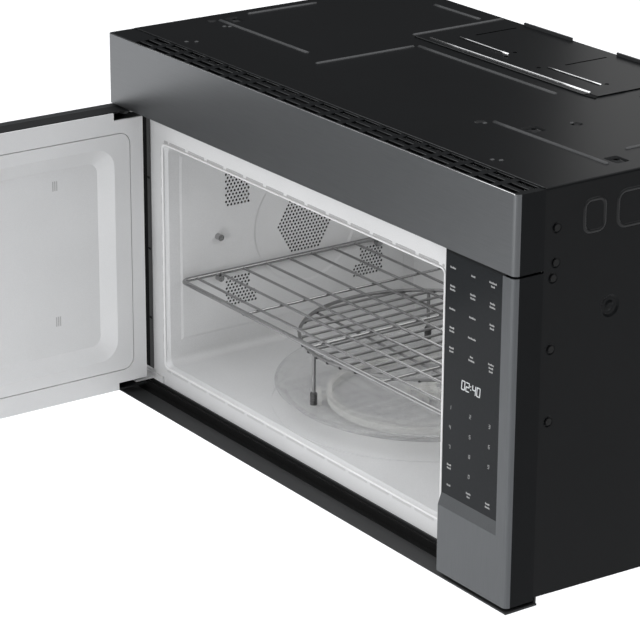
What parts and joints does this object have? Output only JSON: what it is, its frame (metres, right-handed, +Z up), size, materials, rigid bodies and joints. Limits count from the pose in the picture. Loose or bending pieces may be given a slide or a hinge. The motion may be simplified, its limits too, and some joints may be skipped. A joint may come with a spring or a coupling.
{
  "type": "over-the-range microwave oven",
  "caption": "Built-in microwave for over a cooktop: side-hinged door, convection cavity with turntable and racks, touch panel, vent blower and grease filters",
  "frame": {"origin": "on the wall face of the mounting plate, midway between the cabinet's sides, level with the underside of the front sill", "axes": "+X to the right seen from the front, +Y into the wall, +Z up"},
  "size_m": [0.8042, 1.043, 0.4507],
  "materials": {
    "black_painted_sheet": "satin black paint on pressed sheet",
    "black_steel": "dark tinted brushed stainless steel",
    "white_enamel": "light grey-white oven enamel",
    "light_plastic": "light grey moulding",
    "galvanised": "galvanised sheet",
    "zinc_plate": "zinc-plated steel",
    "aluminium": "plain aluminium",
    "rack_steel": "bright steel wire",
    "heater_steel": "dull heat-tinted steel",
    "lamination": "varnished laminations",
    "black_screw": "blackened steel",
    "black_plastic": "fine-textured black moulding",
    "grey_plastic": "grey moulding",
    "white_plastic": "heat-proof white moulding",
    "charcoal": "charcoal pad",
    "circuit_board": "green circuit board",
    "mica": "pale mica sheet",
    "clear_glass": "clear tempered glass",
    "black_glass": "black glass"
  },
  "bodies": {
    "cabinet": {"cabinet_wrap": "black_painted_sheet", "back_plate": "galvanised", "wall_plate": "galvanised", "base_pan": "black_painted_sheet", "front_sill": "black_painted_sheet", "exhaust_plate": "black_painted_sheet", "power_inlet": "black_plastic", "cabinet_screws": "black_screw", "trim_face": "black_steel", "vent_louvre": "black_plastic", "charcoal_filter": "charcoal", "control_fascia": "black_steel", "control_housing": "black_plastic", "touch_glass": "black_glass", "display_board": "circuit_board", "cavity_front": "white_enamel", "cavity_wrap": "white_enamel", "cavity_side_left": "white_enamel", "rack_studs": "white_plastic", "waveguide_cover": "mica", "waveguide": "galvanised", "magnetron": "aluminium", "transformer": "lamination", "capacitor": "aluminium", "convection_housing": "galvanised", "convection_heater": "heater_steel", "convection_motor": "galvanised", "blower_housing": "galvanised", "blower_motor": "lamination", "cooling_shroud": "black_plastic", "cooling_motor": "lamination", "turntable_motor": "galvanised", "latch_board": "grey_plastic", "door_switches": "black_plastic", "hinge_brackets": "zinc_plate", "cooktop_lamps": "galvanised", "lamp_lenses": "clear_glass"},
    "door": {"door_skin": "black_steel", "door_frame": "black_plastic", "door_glass": "black_glass", "choke_cover": "light_plastic", "door_inner_panel": "light_plastic", "door_handle": "black_steel", "handle_screws": "black_screw", "latch_spring": "heater_steel"},
    "latch": {"latch_hooks": "grey_plastic"},
    "turntable": {"glass_tray": "clear_glass", "turntable_coupler": "white_plastic", "round_rack": "rack_steel"},
    "roller_carrier": {"roller_ring": "white_plastic"},
    "roller_a": {"roller_1": "white_plastic"},
    "roller_b": {"roller_2": "white_plastic"},
    "roller_c": {"roller_3": "white_plastic"},
    "rack": {"wire_rack": "rack_steel"},
    "oven_fan": {"convection_fan": "aluminium"},
    "vent_wheels": {"blower_wheels": "black_plastic"},
    "bay_fan": {"cooling_fan": "black_plastic"},
    "lever": {"interlock_lever": "white_plastic"},
    "filter_left": {"grease_filter_left": "aluminium"},
    "filter_right": {"grease_filter_right": "aluminium"}
  },
  "joints": [
    {"name": "door_hinge", "type": "hinge", "parent": "cabinet", "child": "door", "pos_m": [-0.3675, -0.4125, 0.18525], "axis": [0, 0, -1], "range_deg": [-90, 15]},
    {"name": "latch_slide", "type": "slide", "parent": "door", "child": "latch", "axis": [0, 0, 1], "range_m": [0, 0.004], "stiffness_N_per_m": 400, "springref_m": -0.004, "deforming": ["latch_spring"]},
    {"name": "turntable_spin", "type": "hinge", "parent": "cabinet", "child": "turntable", "pos_m": [-0.0555, -0.195, 0.055], "axis": [0, 0, 1], "continuous": true},
    {"name": "roller_ring_spin", "type": "hinge", "parent": "cabinet", "child": "roller_carrier", "pos_m": [-0.0555, -0.195, 0.04625], "axis": [0, 0, 1], "continuous": true},
    {"name": "roller_a_spin", "type": "hinge", "parent": "roller_carrier", "child": "roller_a", "pos_m": [0.0725, -0.195, 0.04625], "axis": [1, 0, 0], "continuous": true},
    {"name": "roller_b_spin", "type": "hinge", "parent": "roller_carrier", "child": "roller_b", "pos_m": [-0.1195, -0.08415, 0.04625], "axis": [-0.5, 0.866, 0], "continuous": true},
    {"name": "roller_c_spin", "type": "hinge", "parent": "roller_carrier", "child": "roller_c", "pos_m": [-0.1195, -0.30585, 0.04625], "axis": [-0.5, -0.866, 0], "continuous": true},
    {"name": "wire_rack_slide", "type": "slide", "parent": "cabinet", "child": "rack", "axis": [0, -1, 0], "range_m": [0, 0.28]},
    {"name": "convection_fan_spin", "type": "hinge", "parent": "cabinet", "child": "oven_fan", "pos_m": [-0.34, -0.1805, 0.1822], "axis": [1, 0, 0], "continuous": true},
    {"name": "blower_spin", "type": "hinge", "parent": "cabinet", "child": "vent_wheels", "pos_m": [0, -0.0745, 0.3782], "axis": [1, 0, 0], "continuous": true},
    {"name": "cooling_fan_spin", "type": "hinge", "parent": "cabinet", "child": "bay_fan", "pos_m": [0.3055, -0.0725, 0.246], "axis": [0, 1, 0], "continuous": true},
    {"name": "interlock_lever_press", "type": "hinge", "parent": "cabinet", "child": "lever", "pos_m": [0.251, -0.3645, 0.24925], "axis": [-1, 0, 0], "range_deg": [0, 8], "stiffness_Nm_per_rad": 0.004, "springref_deg": -11.46},
    {"name": "filter_left_drop", "type": "slide", "parent": "cabinet", "child": "filter_left", "axis": [0, 0, -1], "range_m": [0, 0.06]},
    {"name": "filter_right_drop", "type": "slide", "parent": "cabinet", "child": "filter_right", "axis": [0, 0, -1], "range_m": [0, 0.06]}
  ],
  "couplings": [
    {"joint": "roller_ring_spin", "follows": "turntable_spin", "ratio": 0.5},
    {"joint": "roller_a_spin", "follows": "turntable_spin", "ratio": -7.1111},
    {"joint": "roller_b_spin", "follows": "turntable_spin", "ratio": -7.1111},
    {"joint": "roller_c_spin", "follows": "turntable_spin", "ratio": -7.1111}
  ]
}
